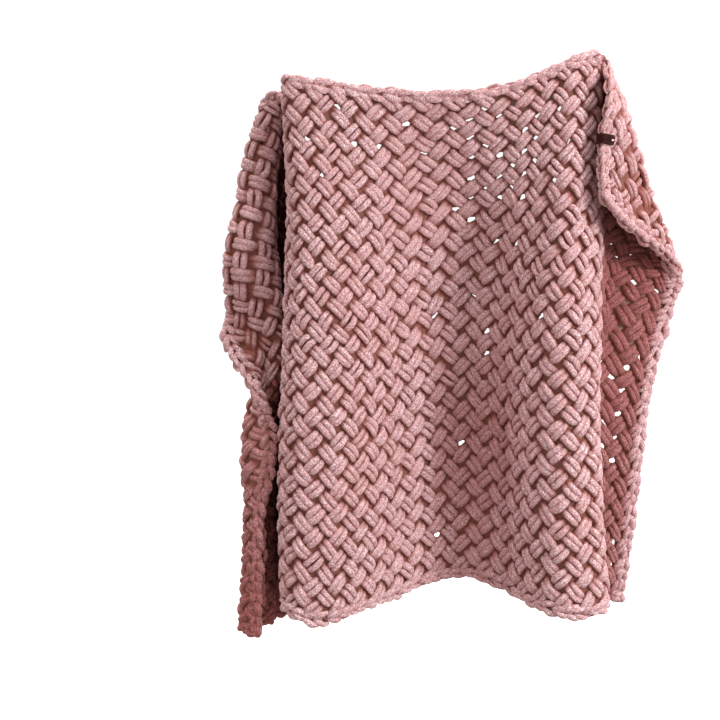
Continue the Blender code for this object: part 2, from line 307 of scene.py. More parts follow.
# The folds, from the left selvage to the right one. Each row is one level down the
# cloth: how far down it is (v), how far across the cloth the fold lies there (u), and
# where that point of the cloth hangs (x, y, z).
FOLDS = {
    "left selvage": (
        (0.00, 0.000, -0.200, 0.235, -0.280),
        (0.15, 0.000, -0.318, 0.235, -0.370),
        (0.32, 0.000, -0.466, 0.215, -0.480),
        (0.47, 0.000, -0.556, 0.130, -0.600),
        (0.60, 0.000, -0.492, 0.068, -0.705),
        (0.66, 0.000, -0.462, 0.038, -0.745),
        (0.72, 0.000, -0.436, 0.040, -0.780),
        (1.00, 0.000, -0.443, 0.032, -1.050),
        (1.32, 0.000, -0.452, 0.030, -1.352),
    ),
    "left outer fold, first side": (
        (0.00, 0.360, -0.442, 0.128, -0.052),
        (0.15, 0.245, -0.495, 0.140, -0.195),
        (0.23, 0.168, -0.511, 0.146, -0.304),
        (0.32, 0.095, -0.540, 0.148, -0.425),
        (0.47, 0.045, -0.524, 0.120, -0.575),
        (0.60, 0.045, -0.468, 0.092, -0.682),
        (0.72, 0.050, -0.470, 0.056, -0.785),
        (1.00, 0.050, -0.475, 0.050, -1.060),
        (1.32, 0.060, -0.490, 0.045, -1.345),
    ),
    "left outer fold, second side": (
        (0.00, 0.415, -0.440, 0.062, -0.002),
        (0.15, 0.300, -0.500, 0.082, -0.172),
        (0.23, 0.223, -0.516, 0.090, -0.280),
        (0.32, 0.150, -0.545, 0.095, -0.400),
        (0.47, 0.095, -0.487, 0.112, -0.545),
        (0.60, 0.095, -0.443, 0.120, -0.662),
        (0.72, 0.105, -0.472, 0.106, -0.790),
        (1.00, 0.105, -0.480, 0.104, -1.065),
        (1.32, 0.120, -0.492, 0.105, -1.345),
    ),
    "left lip": (
        (0.00, 0.450, -0.410, 0.048, 0.004),
        (0.15, 0.376, -0.420, 0.085, -0.140),
        (0.32, 0.270, -0.432, 0.105, -0.338),
        (0.47, 0.170, -0.418, 0.108, -0.505),
        (0.60, 0.130, -0.414, 0.114, -0.645),
        (0.72, 0.150, -0.428, 0.108, -0.772),
        (1.00, 0.148, -0.438, 0.108, -1.055),
        (1.32, 0.168, -0.446, 0.112, -1.345),
    ),
    "left pocket, first side": (
        (0.00, 0.485, -0.400, 0.074, 0.006),
        (0.15, 0.424, -0.424, 0.128, -0.130),
        (0.32, 0.340, -0.438, 0.172, -0.328),
        (0.47, 0.250, -0.427, 0.180, -0.490),
        (0.60, 0.212, -0.423, 0.195, -0.625),
        (0.72, 0.234, -0.436, 0.190, -0.755),
        (1.00, 0.222, -0.440, 0.175, -1.035),
        (1.32, 0.228, -0.440, 0.160, -1.340),
    ),
    "left pocket, second side": (
        (0.00, 0.520, -0.366, 0.076, 0.010),
        (0.15, 0.470, -0.378, 0.132, -0.124),
        (0.32, 0.397, -0.386, 0.180, -0.312),
        (0.47, 0.307, -0.375, 0.190, -0.475),
        (0.60, 0.270, -0.371, 0.205, -0.605),
        (0.72, 0.294, -0.381, 0.200, -0.735),
        (1.00, 0.285, -0.384, 0.185, -1.010),
        (1.32, 0.290, -0.384, 0.170, -1.330),
    ),
    "left panel fold": (
        (0.00, 0.590, -0.384, -0.005, 0.031),
        (0.15, 0.575, -0.374, 0.000, -0.118),
        (0.47, 0.530, -0.367, 0.005, -0.435),
        (0.72, 0.505, -0.376, 0.005, -0.685),
        (1.00, 0.500, -0.384, 0.005, -0.965),
        (1.32, 0.500, -0.380, 0.005, -1.280),
    ),
    "left ridge": (
        (0.00, 0.640, -0.338, -0.020, 0.028),
        (0.32, 0.635, -0.305, -0.030, -0.295),
        (0.72, 0.620, -0.285, -0.030, -0.700),
        (1.32, 0.620, -0.282, -0.030, -1.305),
    ),
    "left brow": (
        (0.00, 0.700, -0.280, -0.020, 0.020),
        (0.32, 0.695, -0.245, -0.020, -0.300),
        (0.72, 0.680, -0.226, -0.018, -0.700),
        (1.32, 0.680, -0.226, -0.012, -1.290),
    ),
    "left slope": (
        (0.00, 0.855, -0.131, -0.005, 0.001),
        (0.32, 0.850, -0.110, 0.055, -0.310),
        (0.72, 0.850, -0.100, 0.105, -0.700),
        (1.32, 0.850, -0.102, 0.115, -1.268),
    ),
    "valley": (
        (0.00, 0.989, 0.000, 0.000, 0.000),
        (0.32, 0.989, 0.012, 0.110, -0.292),
        (0.72, 0.989, 0.018, 0.170, -0.675),
        (1.32, 0.989, 0.016, 0.190, -1.244),
    ),
    "right slope": (
        (0.00, 1.130, 0.137, -0.010, 0.008),
        (0.32, 1.134, 0.145, 0.065, -0.295),
        (0.72, 1.140, 0.155, 0.120, -0.680),
        (1.32, 1.144, 0.165, 0.125, -1.256),
    ),
    "right brow": (
        (0.00, 1.260, 0.262, -0.020, 0.048),
        (0.32, 1.270, 0.250, -0.010, -0.272),
        (0.72, 1.284, 0.238, 0.000, -0.675),
        (1.32, 1.284, 0.250, 0.000, -1.278),
    ),
    "right ridge": (
        (0.00, 1.355, 0.352, -0.018, 0.085),
        (0.32, 1.380, 0.348, -0.030, -0.245),
        (0.72, 1.396, 0.345, -0.030, -0.660),
        (1.32, 1.396, 0.358, -0.030, -1.288),
    ),
    "right panel fold": (
        (0.00, 1.395, 0.386, 0.002, 0.094),
        (0.15, 1.405, 0.380, 0.004, -0.060),
        (0.47, 1.435, 0.381, 0.005, -0.390),
        (0.72, 1.450, 0.383, 0.005, -0.650),
        (1.00, 1.460, 0.387, 0.005, -0.940),
        (1.32, 1.460, 0.406, 0.005, -1.280),
    ),
    "right gap fold": (
        (0.00, 1.410, 0.398, 0.015, 0.092),
        (0.15, 1.455, 0.402, 0.060, -0.070),
        (0.34, 1.495, 0.408, 0.095, -0.260),
        (0.50, 1.530, 0.418, 0.110, -0.420),
        (0.72, 1.560, 0.398, 0.122, -0.655),
        (1.00, 1.580, 0.388, 0.135, -0.950),
        (1.32, 1.585, 0.400, 0.135, -1.285),
    ),
    "right outer fold, first side": (
        (0.00, 1.430, 0.410, 0.018, 0.080),
        (0.15, 1.530, 0.474, 0.078, -0.105),
        (0.24, 1.600, 0.510, 0.108, -0.233),
        (0.34, 1.670, 0.568, 0.140, -0.370),
        (0.50, 1.660, 0.535, 0.132, -0.455),
        (0.72, 1.660, 0.490, 0.150, -0.675),
        (1.00, 1.660, 0.450, 0.175, -0.965),
        (1.32, 1.660, 0.430, 0.195, -1.298),
    ),
    "right outer fold, second side": (
        (0.00, 1.470, 0.413, -0.029, 0.036),
        (0.15, 1.588, 0.484, 0.015, -0.140),
        (0.24, 1.651, 0.525, 0.059, -0.264),
        (0.34, 1.718, 0.590, 0.110, -0.398),
        (0.50, 1.708, 0.576, 0.140, -0.475),
        (0.72, 1.708, 0.528, 0.158, -0.685),
        (1.00, 1.708, 0.487, 0.175, -0.975),
        (1.32, 1.708, 0.452, 0.220, -1.305),
    ),
    "lapel": (
        (0.00, 1.605, 0.391, -0.059, -0.118),
        (0.15, 1.670, 0.482, 0.000, -0.235),
        (0.34, 1.740, 0.597, 0.108, -0.412),
        (0.50, 1.734, 0.594, 0.144, -0.485),
        (0.72, 1.734, 0.542, 0.164, -0.695),
        (1.00, 1.734, 0.504, 0.178, -0.980),
        (1.32, 1.734, 0.467, 0.226, -1.309),
    ),
    "right selvage": (
        (0.00, 1.760, 0.392, -0.075, -0.268),
        (0.15, 1.760, 0.478, -0.015, -0.345),
        (0.34, 1.760, 0.604, 0.105, -0.425),
        (0.50, 1.760, 0.612, 0.148, -0.495),
        (0.72, 1.760, 0.555, 0.170, -0.705),
        (1.00, 1.760, 0.521, 0.182, -0.990),
        (1.32, 1.760, 0.482, 0.232, -1.312),
    ),
}


def smooth_curve(at, knots, values):
    """A curve through the values at the knots, with the slope of its neighbours at each."""
    steps = np.diff(knots)
    rises = np.diff(values, axis=0) / steps[:, None]
    slopes = np.empty_like(values)
    weight = (steps[1:] / (steps[:-1] + steps[1:]))[:, None]
    slopes[1:-1] = rises[:-1] * weight + rises[1:] * (1 - weight)
    slopes[0] = rises[0]
    slopes[-1] = rises[-1]
    cell = np.clip(np.searchsorted(knots, at, side="right") - 1, 0, len(steps) - 1)
    step = steps[cell][:, None]
    part = (at[:, None] - knots[cell][:, None]) / step
    start = values[cell] + part * step * slopes[cell]
    back = part - 1
    end = values[cell + 1] + back * step * slopes[cell + 1]
    ease = part * part * (3 - 2 * part)
    return start * (1 - ease) + end * ease


def soften(points, spread, axis):
    """The points averaged with their neighbours along one axis, the edges kept in place."""
    reach = 3 * max(1, round(spread))
    offsets = np.arange(-reach, reach + 1)
    shares = np.exp(-0.5 * (offsets / spread) ** 2)
    shares /= shares.sum()
    points = np.moveaxis(points, axis, 0)
    before = 2 * points[:1] - points[reach:0:-1]
    after = 2 * points[-1:] - points[-2 : -reach - 2 : -1]
    padded = np.concatenate([before, points, after])
    count = len(points)
    total = sum(share * padded[i : i + count] for i, share in enumerate(shares))
    return np.moveaxis(total, 0, axis)


def drape():
    """The middle of the cloth, as points at even steps across (first axis) and down."""
    across = np.linspace(0, WIDTH, round(WIDTH / DRAPE_STEP) + 1)
    down = np.linspace(0, HEIGHT, round(HEIGHT / DRAPE_STEP) + 1)
    lines = []
    for rows in FOLDS.values():
        table = np.array(rows)
        lines.append(smooth_curve(down, table[:, 0], table[:, 1:]))
    lines = np.array(lines)
    sections = []
    for level in range(len(down)):
        fold_u = lines[:, level, 0]
        sections.append(smooth_curve(across, fold_u, lines[:, level, 1:]))
    points = np.array(sections).transpose(1, 0, 2)
    points = soften(points, DRAPE_SOFTNESS / DRAPE_STEP, 0)
    return soften(points, 2 * DRAPE_SOFTNESS / DRAPE_STEP, 1)


def bunch(u, v):
    """How far the knit's own count of its stitches runs ahead at each place on the cloth,
    as distances across and down. Along the four edges it doesn't."""

    def step(place, much, middle, reach):
        return much * reach * np.tanh((place - middle) / reach)

    def across(u):
        rise = sum(step(u, *bunched) for bunched in BUNCHED_ACROSS)
        for bunched, fades in ((DRAWN_ACROSS, DRAWN_FADES), (BUNCHED_LAPEL, LAPEL_FADES)):
            rise = rise + step(u, *bunched) * (1 - smoothstep(*fades, v))
        return rise

    def down(v):
        off_middle = u - MIDDLE_OF_PANEL
        much, reach = BUNCHED_DOWN
        rise = step(v, much, 0, reach) * np.exp(-((off_middle / BUNCHED_DOWN_REACH) ** 2))
        much, start, soft = DRAWN_DOWN
        far = much * soft * np.logaddexp(0, (v - start) / soft)
        return rise + far * np.exp(-((off_middle / DRAWN_DOWN_REACH) ** 2))

    share_u = u / WIDTH
    share_v = v / HEIGHT
    ahead_u = across(u) - across(0.0) * (1 - share_u) - across(WIDTH) * share_u
    ahead_v = down(v) - down(0.0) * (1 - share_v) - down(HEIGHT) * share_v
    return ahead_u, ahead_v


def unbunched(count_u, count_v):
    """Where on the cloth the knit's own count has come to each (u, v)."""
    u, v = count_u, count_v
    for _ in range(UNBUNCH_ROUNDS):
        ahead_u, ahead_v = bunch(u, v)
        u, v = count_u - ahead_u, count_v - ahead_v
    return u, v


def draped():
    """The drape as a table over the knit's own count, with a straight margin added all
    round for points just past the edges."""
    plain = drape()
    across = np.linspace(0, WIDTH, plain.shape[0])
    down = np.linspace(0, HEIGHT, plain.shape[1])
    u, v = unbunched(*np.meshgrid(across, down, indexing="ij"))
    table = with_margin(plain)
    points = lookup(table, u.reshape(-1), v.reshape(-1))[0].reshape(plain.shape)
    return with_margin(points)


def with_margin(points):
    """The points with MARGIN_STEPS more on every side, in line with the last two."""
    for axis in (0, 1):
        points = np.moveaxis(points, axis, 0)
        reach = np.arange(MARGIN_STEPS, 0, -1)[:, None, None]
        before = points[:1] + (points[:1] - points[1:2]) * reach
        after = points[-1:] + (points[-1:] - points[-2:-1]) * reach[::-1]
        points = np.moveaxis(np.concatenate([before, points, after]), 0, axis)
    return points


def weights(part):
    """Catmull-Rom weights of four neighbours at each part of a step, and their slopes."""
    p = part[:, None]
    value = np.hstack(
        [
            -0.5 * p + p**2 - 0.5 * p**3,
            1 - 2.5 * p**2 + 1.5 * p**3,
            0.5 * p + 2 * p**2 - 1.5 * p**3,
            -0.5 * p**2 + 0.5 * p**3,
        ]
    )
    slope = np.hstack(
        [
            -0.5 + 2 * p - 1.5 * p**2,
            -5 * p + 4.5 * p**2,
            0.5 + 4 * p - 4.5 * p**2,
            -p + 1.5 * p**2,
        ]
    )
    return value, slope


def lookup(table, u, v):
    """The table's points at each (u, v), and its ways across and down there."""
    i = u / DRAPE_STEP + MARGIN_STEPS
    j = v / DRAPE_STEP + MARGIN_STEPS
    low_i = np.clip(np.floor(i).astype(int), 1, table.shape[0] - 3)
    low_j = np.clip(np.floor(j).astype(int), 1, table.shape[1] - 3)
    near = np.arange(-1, 3)
    patch = table[(low_i[:, None] + near)[:, :, None], (low_j[:, None] + near)[:, None, :]]
    value_i, slope_i = weights(i - low_i)
    value_j, slope_j = weights(j - low_j)
    point = np.einsum("ni,nj,nijk->nk", value_i, value_j, patch)
    along_u = np.einsum("ni,nj,nijk->nk", slope_i, value_j, patch)
    along_v = np.einsum("ni,nj,nijk->nk", value_i, slope_j, patch)
    return point, along_u, along_v


def on_cloth(u, v):
    """The points of the cloth's middle at each (u, v) of the knit's own count, the ways off
    its face there, and how widely its stitches lie there."""
    point, along_u, along_v = lookup(POINTS, u, v)
    off = np.cross(along_v, along_u)
    room = np.sqrt(np.linalg.norm(off, axis=1)) / DRAPE_STEP
    return point, unit(off), np.clip(room, *ROOM)


def unit(vectors):
    return vectors / np.linalg.norm(vectors, axis=-1, keepdims=True)


def smoothstep(low, high, value):
    part = np.clip((value - low) / (high - low), 0, 1)
    return part * part * (3 - 2 * part)


POINTS = draped()


class Yarn:
    """Tubes gathered into one mesh, with what each point of the yarn knows about itself:
    grain is its place in its own strand, shade its painted shade, lighter as it stands out of
    the knit, and its fold shade how deep a fold's painted shade lies on the side of the cloth
    that it faces."""

    def __init__(self):
        self.points = []
        self.grain = []
        self.shade = []
        self.fold_shade = []
        self.quads = []
        self.caps = []
        self.count = 0

    def tube(self, path, up, wide, thick, sides, height, shade_lift, shade_depth, rng):
        """One strand along a path. Wide and thick are its radii across and along up, and
        height is the path's own height off the cloth's middle. Its shade lift raises its
        painted shade all round, up to 1, and deepens it where it is below 0, and its shade
        depth is how deep a fold's painted shade lies on it, from 0 to 1, on the face and on
        the reverse."""

        def capped(values, share=1):
            return np.concatenate([values[:1] * share, values, values[-1:] * share])

        start = rng.uniform(0, GRAIN_START)
        ends = unit(np.array([path[0] - path[1], path[-1] - path[-2]]))
        tips = path[[0, -1]] + ends * wide[[0, -1]][:, None] * TIP_REACH
        path = np.vstack([tips[:1], path, tips[1:]])
        up, height, shade_lift, shade_depth = (capped(values) for values in (up, height, shade_lift, shade_depth))
        wide, thick = (capped(values, TIP_SIZE) for values in (wide, thick))
        ahead = unit(np.gradient(path, axis=0))
        across = unit(np.cross(ahead, up))
        up = np.cross(across, ahead)
        angle = np.arange(sides) * 2 * math.pi / sides
        lumps = rng.normal(1, LUMPS, (len(path), sides))
        side = np.cos(angle)[None, :] * wide[:, None] * lumps
        rise = np.sin(angle)[None, :] * thick[:, None] * lumps
        ring = path[:, None] + side[..., None] * across[:, None]
        ring = ring + rise[..., None] * up[:, None]
        along = np.concatenate([[0], np.cumsum(np.linalg.norm(np.diff(path, axis=0), axis=1))])
        grain = np.stack([np.broadcast_to(along[:, None] + start, side.shape), side, rise], -1)
        # Painted shade: darker along the strand's sides and where its path dips into the knit
        stands = SHADE_BY_HEIGHT * height[:, None] * np.sin(angle)
        stands = stands + SHADE_BY_RISE * np.abs(rise)
        shade = shade_lift[:, None] + stands / (THICKNESS / 2)
        # The painted shade of a fold, on the side of the cloth that the surface faces
        on_face = smoothstep(*SIDE_TURN, np.sin(angle))
        fold_shade = shade_depth[:, :1] * on_face + shade_depth[:, 1:] * (1 - on_face)
        rows = np.arange(len(path) - 1)[:, None] * sides
        cols = np.arange(sides)[None]
        turn = (cols + 1) % sides
        next_rows = rows + sides
        quads = np.stack([rows + cols, rows + turn, next_rows + turn, next_rows + cols], -1)
        self.points.append(ring.reshape(-1, 3))
        self.grain.append(grain.reshape(-1, 3))
        self.shade.append(shade.reshape(-1))
        self.fold_shade.append(fold_shade.reshape(-1))
        self.quads.append(quads.reshape(-1, 4) + self.count)
        last = (len(path) - 1) * sides
        self.caps.append(np.arange(sides)[::-1] + self.count)
        self.caps.append(np.arange(sides) + last + self.count)
        self.count += ring.shape[0] * sides

    def build(self, name, material):
        """The piece that all the tubes make."""
        quads = np.concatenate(self.quads)
        sizes = [len(quads) * [4], [len(cap) for cap in self.caps]]
        total = np.concatenate(sizes).astype(np.int32)
        corners = np.concatenate([quads.reshape(-1), *self.caps]).astype(np.int32)
        return mesh_piece(
            name,
            np.concatenate(self.points),
            corners,
            total,
            {
                "grain": np.concatenate(self.grain),
                "shade": np.concatenate(self.shade),
                "fold_shade": np.concatenate(self.fold_shade),
            },
            material,
        )


def mesh_piece(name, points, corners, total, attributes, material):
    """A piece of the blanket from its points and the corners of its faces."""
    mesh = bpy.data.meshes.new(name)
    mesh.vertices.add(len(points))
    mesh.vertices.foreach_set("co", points.astype(np.float32).reshape(-1))
    mesh.loops.add(len(corners))
    mesh.loops.foreach_set("vertex_index", corners)
    mesh.polygons.add(len(total))
    starts = np.concatenate([[0], np.cumsum(total)[:-1]]).astype(np.int32)
    mesh.polygons.foreach_set("loop_start", starts)
    mesh.polygons.foreach_set("loop_total", total)
    for key, values in attributes.items():
        kind, field = ("FLOAT_VECTOR", "vector") if values.ndim == 2 else ("FLOAT", "value")
        layer = mesh.attributes.new(key, kind, "POINT")
        layer.data.foreach_set(field, values.astype(np.float32).reshape(-1))
    mesh.update(calc_edges=True)
    mesh.validate()
    mesh.shade_smooth()
    mesh.materials.append(material)
    item = bpy.data.objects.new(name, mesh)
    bpy.context.scene.collection.objects.link(item)
    return item


def eased(at, values):
    """Values given at whole numbers from 0, eased from each to the next."""
    low = np.clip(np.floor(at).astype(int), 0, len(values) - 2)
    part = smoothstep(0, 1, at - low)
    return values[low] * (1 - part) + values[low + 1] * part


def run_of_band(band, way_v):
    """From where to where a band's pair of strands runs, in crossings s. At s it lies
    (band + s) / 2 repeats across and way_v * (s - band) / 2 repeats down."""
    first_u, last_u = (place / CELL_U * 2 - band for place in (EDGE_INSET, WIDTH - EDGE_INSET))
    near_v, far_v = (place / CELL_V * 2 for place in (EDGE_INSET, HEIGHT - EDGE_INSET))
    if way_v < 0:
        return max(first_u, band - far_v), min(last_u, band - near_v)
    return max(first_u, band + near_v), min(last_u, band + far_v)


def strand_pair(yarn, kind, band, rng):
    """The two strands of one diagonal pair, from edge to edge of the cloth. The rising pairs
    pass over at whole repeats, and the falling ones half way between."""
    way_v, turn = (-1, band) if kind == "rising" else (1, band + 1)
    first, last = run_of_band(band, way_v)
    if last - first < LEAST_CROSSINGS:
        return
    s = np.linspace(first, last, max(4, round((last - first) * STEPS_PER_CROSSING)))
    knots = np.arange(math.floor(first), math.ceil(last) + 2)
    at = s - knots[0]
    count = len(knots)
    over = (s + turn) % 2
    under = (knots + turn) % 2
    phase = np.where(over > 1, over - 2, over)
    middle_u = (band + s) / 2 * CELL_U
    middle_v = way_v * (s - band) / 2 * CELL_V
    stray, lift, shade_lift = crumple(middle_u, middle_v)
    drift = stray * eased(at, rng.normal(0, DRIFT, count) * (1 + DRIFT_UNDER * under))
    loft = eased(at, rng.normal(1, UNEVEN_LOFT, count))
    phase = phase + eased(at, rng.normal(0, UNEVEN_TIMING, count))
    roll = eased(at, rng.normal(0, ROLL, count) * under)
    across_u, across_v = np.array([-way_v * CELL_V, CELL_U]) / math.hypot(CELL_U, CELL_V)
    pinch = smoothstep(*PINCH_REACH, np.abs(phase))
    ahead = smoothstep(*PINCH_TURN, phase)
    closing = PINCH_BEFORE[kind] + (PINCH_AFTER[kind] - PINCH_BEFORE[kind]) * ahead
    spread = PAIR_HALF[kind] * (1 - closing * pinch)
    peak = phase - WAVE_LAG[kind]
    wave = np.tanh(WAVE_FLATNESS * (np.cos(math.pi * peak) - WAVE_SINK))
    for side in (-1, 1):
        fat = eased(at, rng.normal(1, UNEVEN_FAT, count)) * rng.normal(1, UNEVEN_STEP, len(s))
        wander = stray * eased(at, rng.normal(0, WANDER, count))
        hump = lift * eased(at, rng.normal(0, 1, count))
        shift = side * spread * np.cos(roll) + drift + wander
        shift = shift + LEAN[kind] * np.sin(math.pi * phase)
        u = middle_u + across_u * shift
        v = middle_v + across_v * shift
        inset = np.minimum(np.minimum(u, WIDTH - u), np.minimum(v, HEIGHT - v))
        settle = SETTLED + (1 - SETTLED) * smoothstep(*SETTLE_REACH, inset)
        rolled = side * spread * np.sin(roll) * ROLL_RISE
        height = (WAVE * wave * loft + rolled) * settle + hump
        point, face, room = on_cloth(u, v)
        wide = STRAND_WIDE * fat * room**ROOM_POWER
        thick = STRAND_THICK * fat * loft
        path = point + face * height[:, None]
        yarn.tube(path, face, wide, thick, STRAND_SIDES, height, shade_lift, fold_shade(u, v), rng)


def chain(yarn, line, rng, side):
    """A chain of V-shaped links along one edge, on one side of the cloth. Line gives (u, v)
    at each distance along the edge and in from it."""
    length = line["length"]
    inset, spread, radius, lift = line["chain"]
    links = round(length / LINK)
    step = length / links
    t = np.linspace(0, 1, LIMB_STEPS)
    bow = np.sin(math.pi * t)
    # The chain's painted shade is lifted, as it lies clear of the knit
    shade_lift = np.full(LIMB_STEPS, EDGE_SHADE_LIFT)
    opening = (LIMB_ROOT + smoothstep(0, LIMB_OPENS_BY, t)) * spread
    arch = lift + LIMB_RISE * bow - LIMB_SINK * (1 - bow) ** 2
    taper = LIMB_END_SIZE + (1 - LIMB_END_SIZE) * bow**LIMB_END_POWER
    for link in range(links):
        begin = link * step + LINK_START + rng.normal(0, UNEVEN_LINK)
        open_by = rng.normal(1, UNEVEN_OPENING)
        for way in (-1, 1):
            fat = rng.normal(1, UNEVEN_LIMB) * rng.normal(1, UNEVEN_LIMB_STEP, LIMB_STEPS)
            along = np.clip(begin + LIMB_LENGTH * t, 0.0, length)
            shift = way * opening * open_by + rng.normal(0, UNEVEN_LIMB_PLACE)
            u, v = line["at"](along, inset + shift)
            height = side * (arch + rng.normal(0, UNEVEN_LIMB_HEIGHT))
            point, face, _ = on_cloth(u, v)
            wide = radius * fat * taper
            thick = wide * LIMB_THICK
            path = point + face * height[:, None]
            yarn.tube(path, face, wide, thick, LIMB_SIDES, height, shade_lift, fold_shade(u, v), rng)


def edge_lines():
    """The four edges: how long each one is, the sizes of its chain, and the (u, v) at a
    distance along it and in."""
    lines = {
        "top": (WIDTH, HEM_CHAIN, lambda along, inset: (along, inset)),
        "bottom": (WIDTH, HEM_CHAIN, lambda along, inset: (along, HEIGHT - inset)),
        "left": (HEIGHT, SELVAGE_CHAIN, lambda along, inset: (inset, along)),
        "right": (HEIGHT, SELVAGE_CHAIN, lambda along, inset: (WIDTH - inset, along)),
    }
    keys = ("length", "chain", "at")
    return {name: dict(zip(keys, line)) for name, line in lines.items()}


def stretch(u, v):
    """How far the knit is pulled open at each place, from 0 to 1."""
    pulls = [
        chance * np.exp(-(((u - mid_u) / reach_u) ** 2) - ((v - mid_v) / reach_v) ** 2)
        for mid_u, mid_v, reach_u, reach_v, chance in STRETCHED
    ]
    return np.max(pulls, axis=0)


def crumple(count_u, count_v):
    """How many times farther than elsewhere the strands stray at each place, how far they
    rise off the cloth, and how much their painted shade is lifted, below 0 so that it deepens."""
    u, v = unbunched(count_u, count_v)
    stray = np.ones_like(u)
    rise = np.zeros_like(u)
    shade_lift = np.zeros_like(u)
    for mid_u, mid_v, reach_u, reach_v, times, height in CRUMPLED:
        near = np.exp(-(((u - mid_u) / reach_u) ** 4) - ((v - mid_v) / reach_v) ** 4)
        stray += (times - 1) * near
        rise += height * near
        shade_lift += CRUMPLED_SHADE_LIFT * near
    return stray, rise, shade_lift


def fold_shade(count_u, count_v):
    """How deep a fold's painted shade lies at each place, from 0 to 1, on the face and on the
    reverse.
    """
    u, v = unbunched(count_u, count_v)
    sides = []
    for folds in PAINTED_FOLD_SHADE.values():
        depths = []
        for rows in folds:
            levels, starts, ends, shade_depth = np.array(rows).T
            start = np.interp(v, levels, starts)
            end = np.interp(v, levels, ends)
            past_start = smoothstep(start, start + FOLD_SHADE_EDGE, u)
            before_end = smoothstep(-end, FOLD_SHADE_EDGE - end, -u)
            depths.append(np.interp(v, levels, shade_depth) * past_start * before_end)
        sides.append(np.max(depths, axis=0))
    return np.stack(sides, -1)


def knit_ground(material, rng):
    """The thin ground behind the strands, with a square left out at each open corner."""
    columns = round(REPEATS_ACROSS * GROUND_PARTS)
    rows = round(REPEATS_DOWN * GROUND_PARTS)
    line_u = (np.arange(columns + 2) - 0.5) / GROUND_PARTS * CELL_U
    line_v = (np.arange(rows + 2) - 0.5) / GROUND_PARTS * CELL_V
    line_u = np.clip(line_u, GROUND_INSET, WIDTH - GROUND_INSET)
    line_v = np.clip(line_v, GROUND_INSET, HEIGHT - GROUND_INSET)
    u, v = np.meshgrid(line_u, line_v, indexing="ij")
    point, face, _ = on_cloth(u.reshape(-1), v.reshape(-1))
    index = np.arange(u.size).reshape(u.shape)
    quads = np.stack([index[:-1, :-1], index[:-1, 1:], index[1:, 1:], index[1:, :-1]], -1)
    i, j = np.meshgrid(np.arange(columns + 1), np.arange(rows + 1), indexing="ij")
    half = GROUND_PARTS // 2
    corner = (i % half == 0) & (j % half == 0) & ((i // half + j // half) % 2 == 1)
    pull = stretch(i / GROUND_PARTS * CELL_U, j / GROUND_PARTS * CELL_V)
    inside = (i > half) & (i < columns - half) & (j > half) & (j < rows - half)
    opened = corner & inside & (rng.random(pull.shape) < pull)
    kept = quads[~opened]
    grain = np.stack([u, v, np.zeros_like(u)], -1).reshape(-1, 3)
    item = mesh_piece(
        "knit_ground",
        point + face * GROUND_HEIGHT,
        kept.reshape(-1).astype(np.int32),
        np.full(len(kept), 4, np.int32),
        {"grain": grain, "shade": stretch(u.reshape(-1), v.reshape(-1))},
        material,
    )
    body = item.modifiers.new("thickness", "SOLIDIFY")
    body.thickness = GROUND_THICKNESS
    body.offset = 0
    return item


def knit(material, rng):
    """The strands of both ways, each way in two pieces, left and right."""
    yarns = {}
    for kind in ("rising", "falling"):
        if kind == "rising":
            bands = range(1, math.ceil(REPEATS_ACROSS + REPEATS_DOWN))
        else:
            bands = range(-math.floor(REPEATS_DOWN), math.ceil(REPEATS_ACROSS))
        middle = bands[len(bands) // 2]
        for part in ("left", "right"):
            yarns[f"strands_{kind}_{part}"] = Yarn()
        for band in bands:
            part = "left" if band < middle else "right"
            strand_pair(yarns[f"strands_{kind}_{part}"], kind, band, rng)
    return [yarn.build(name, material) for name, yarn in yarns.items()]


def edges(material, rng):
    """The chains of the four edges, one piece each, on both sides of the cloth."""
    pieces = []
    for name, line in edge_lines().items():
        yarn = Yarn()
        for side in (1, -1):
            chain(yarn, line, rng, side)
        pieces.append(yarn.build(f"edge_chain_{name}", material))
    return pieces


class Nodes:
    """A material's node tree, with its nodes made and wired in one call each."""

    def __init__(self, name):
        self.material = bpy.data.materials.new(name)
        self.material.use_nodes = True
        self.tree = self.material.node_tree
        self.shader = self.tree.nodes["Principled BSDF"]

    def add(self, kind, inputs=None, **settings):
        node = self.tree.nodes.new(kind)
        for key, value in settings.items():
            setattr(node, key, value)
        for key, value in (inputs or {}).items():
            self.set(node.inputs[key], value)
        return node

    def set(self, socket, value):
        if isinstance(value, bpy.types.NodeSocket):
            self.tree.links.new(value, socket)
        else:
            socket.default_value = value

    def attribute(self, name, output="Fac"):
        return self.add("ShaderNodeAttribute", attribute_name=name).outputs[output]

    def noise(self, vector, scale, detail, roughness):
        inputs = {"Vector": vector, "Scale": scale, "Detail": detail, "Roughness": roughness}
        return self.add("ShaderNodeTexNoise", inputs).outputs["Fac"]

    def remap(self, value, ends, results=(0.0, 1.0)):
        """The value eased from the first result to the second as it goes from end to end."""
        node = self.add("ShaderNodeMapRange", {"Value": value})
        node.interpolation_type = "SMOOTHSTEP"
        for key, number in zip(RANGE_INPUTS, ends + results):
            self.set(node.inputs[key], number)
        return node.outputs["Result"]

    def mix(self, fac, first, second, blend="MIX"):
        """The first colour where fac is 0, blended with the second as it goes to 1."""
        node = self.add("ShaderNodeMix", data_type="RGBA", blend_type=blend)
        self.set(node.inputs[0], fac)
        self.set(node.inputs[6], first)
        self.set(node.inputs[7], second)
        return node.outputs[2]

    def math(self, operation, first, second):
        node = self.add("ShaderNodeMath", operation=operation)
        self.set(node.inputs[0], first)
        self.set(node.inputs[1], second)
        return node.outputs[0]

    def bump(self, height, strength, distance):
        inputs = {"Height": height, "Strength": strength, "Distance": distance}
        return self.add("ShaderNodeBump", inputs).outputs["Normal"]

    def finish(self, **inputs):
        """The material, once the shader's own inputs are set, with _ for each space."""
        for key, value in inputs.items():
            self.set(self.shader.inputs[key.replace("_", " ")], value)
        return self.material


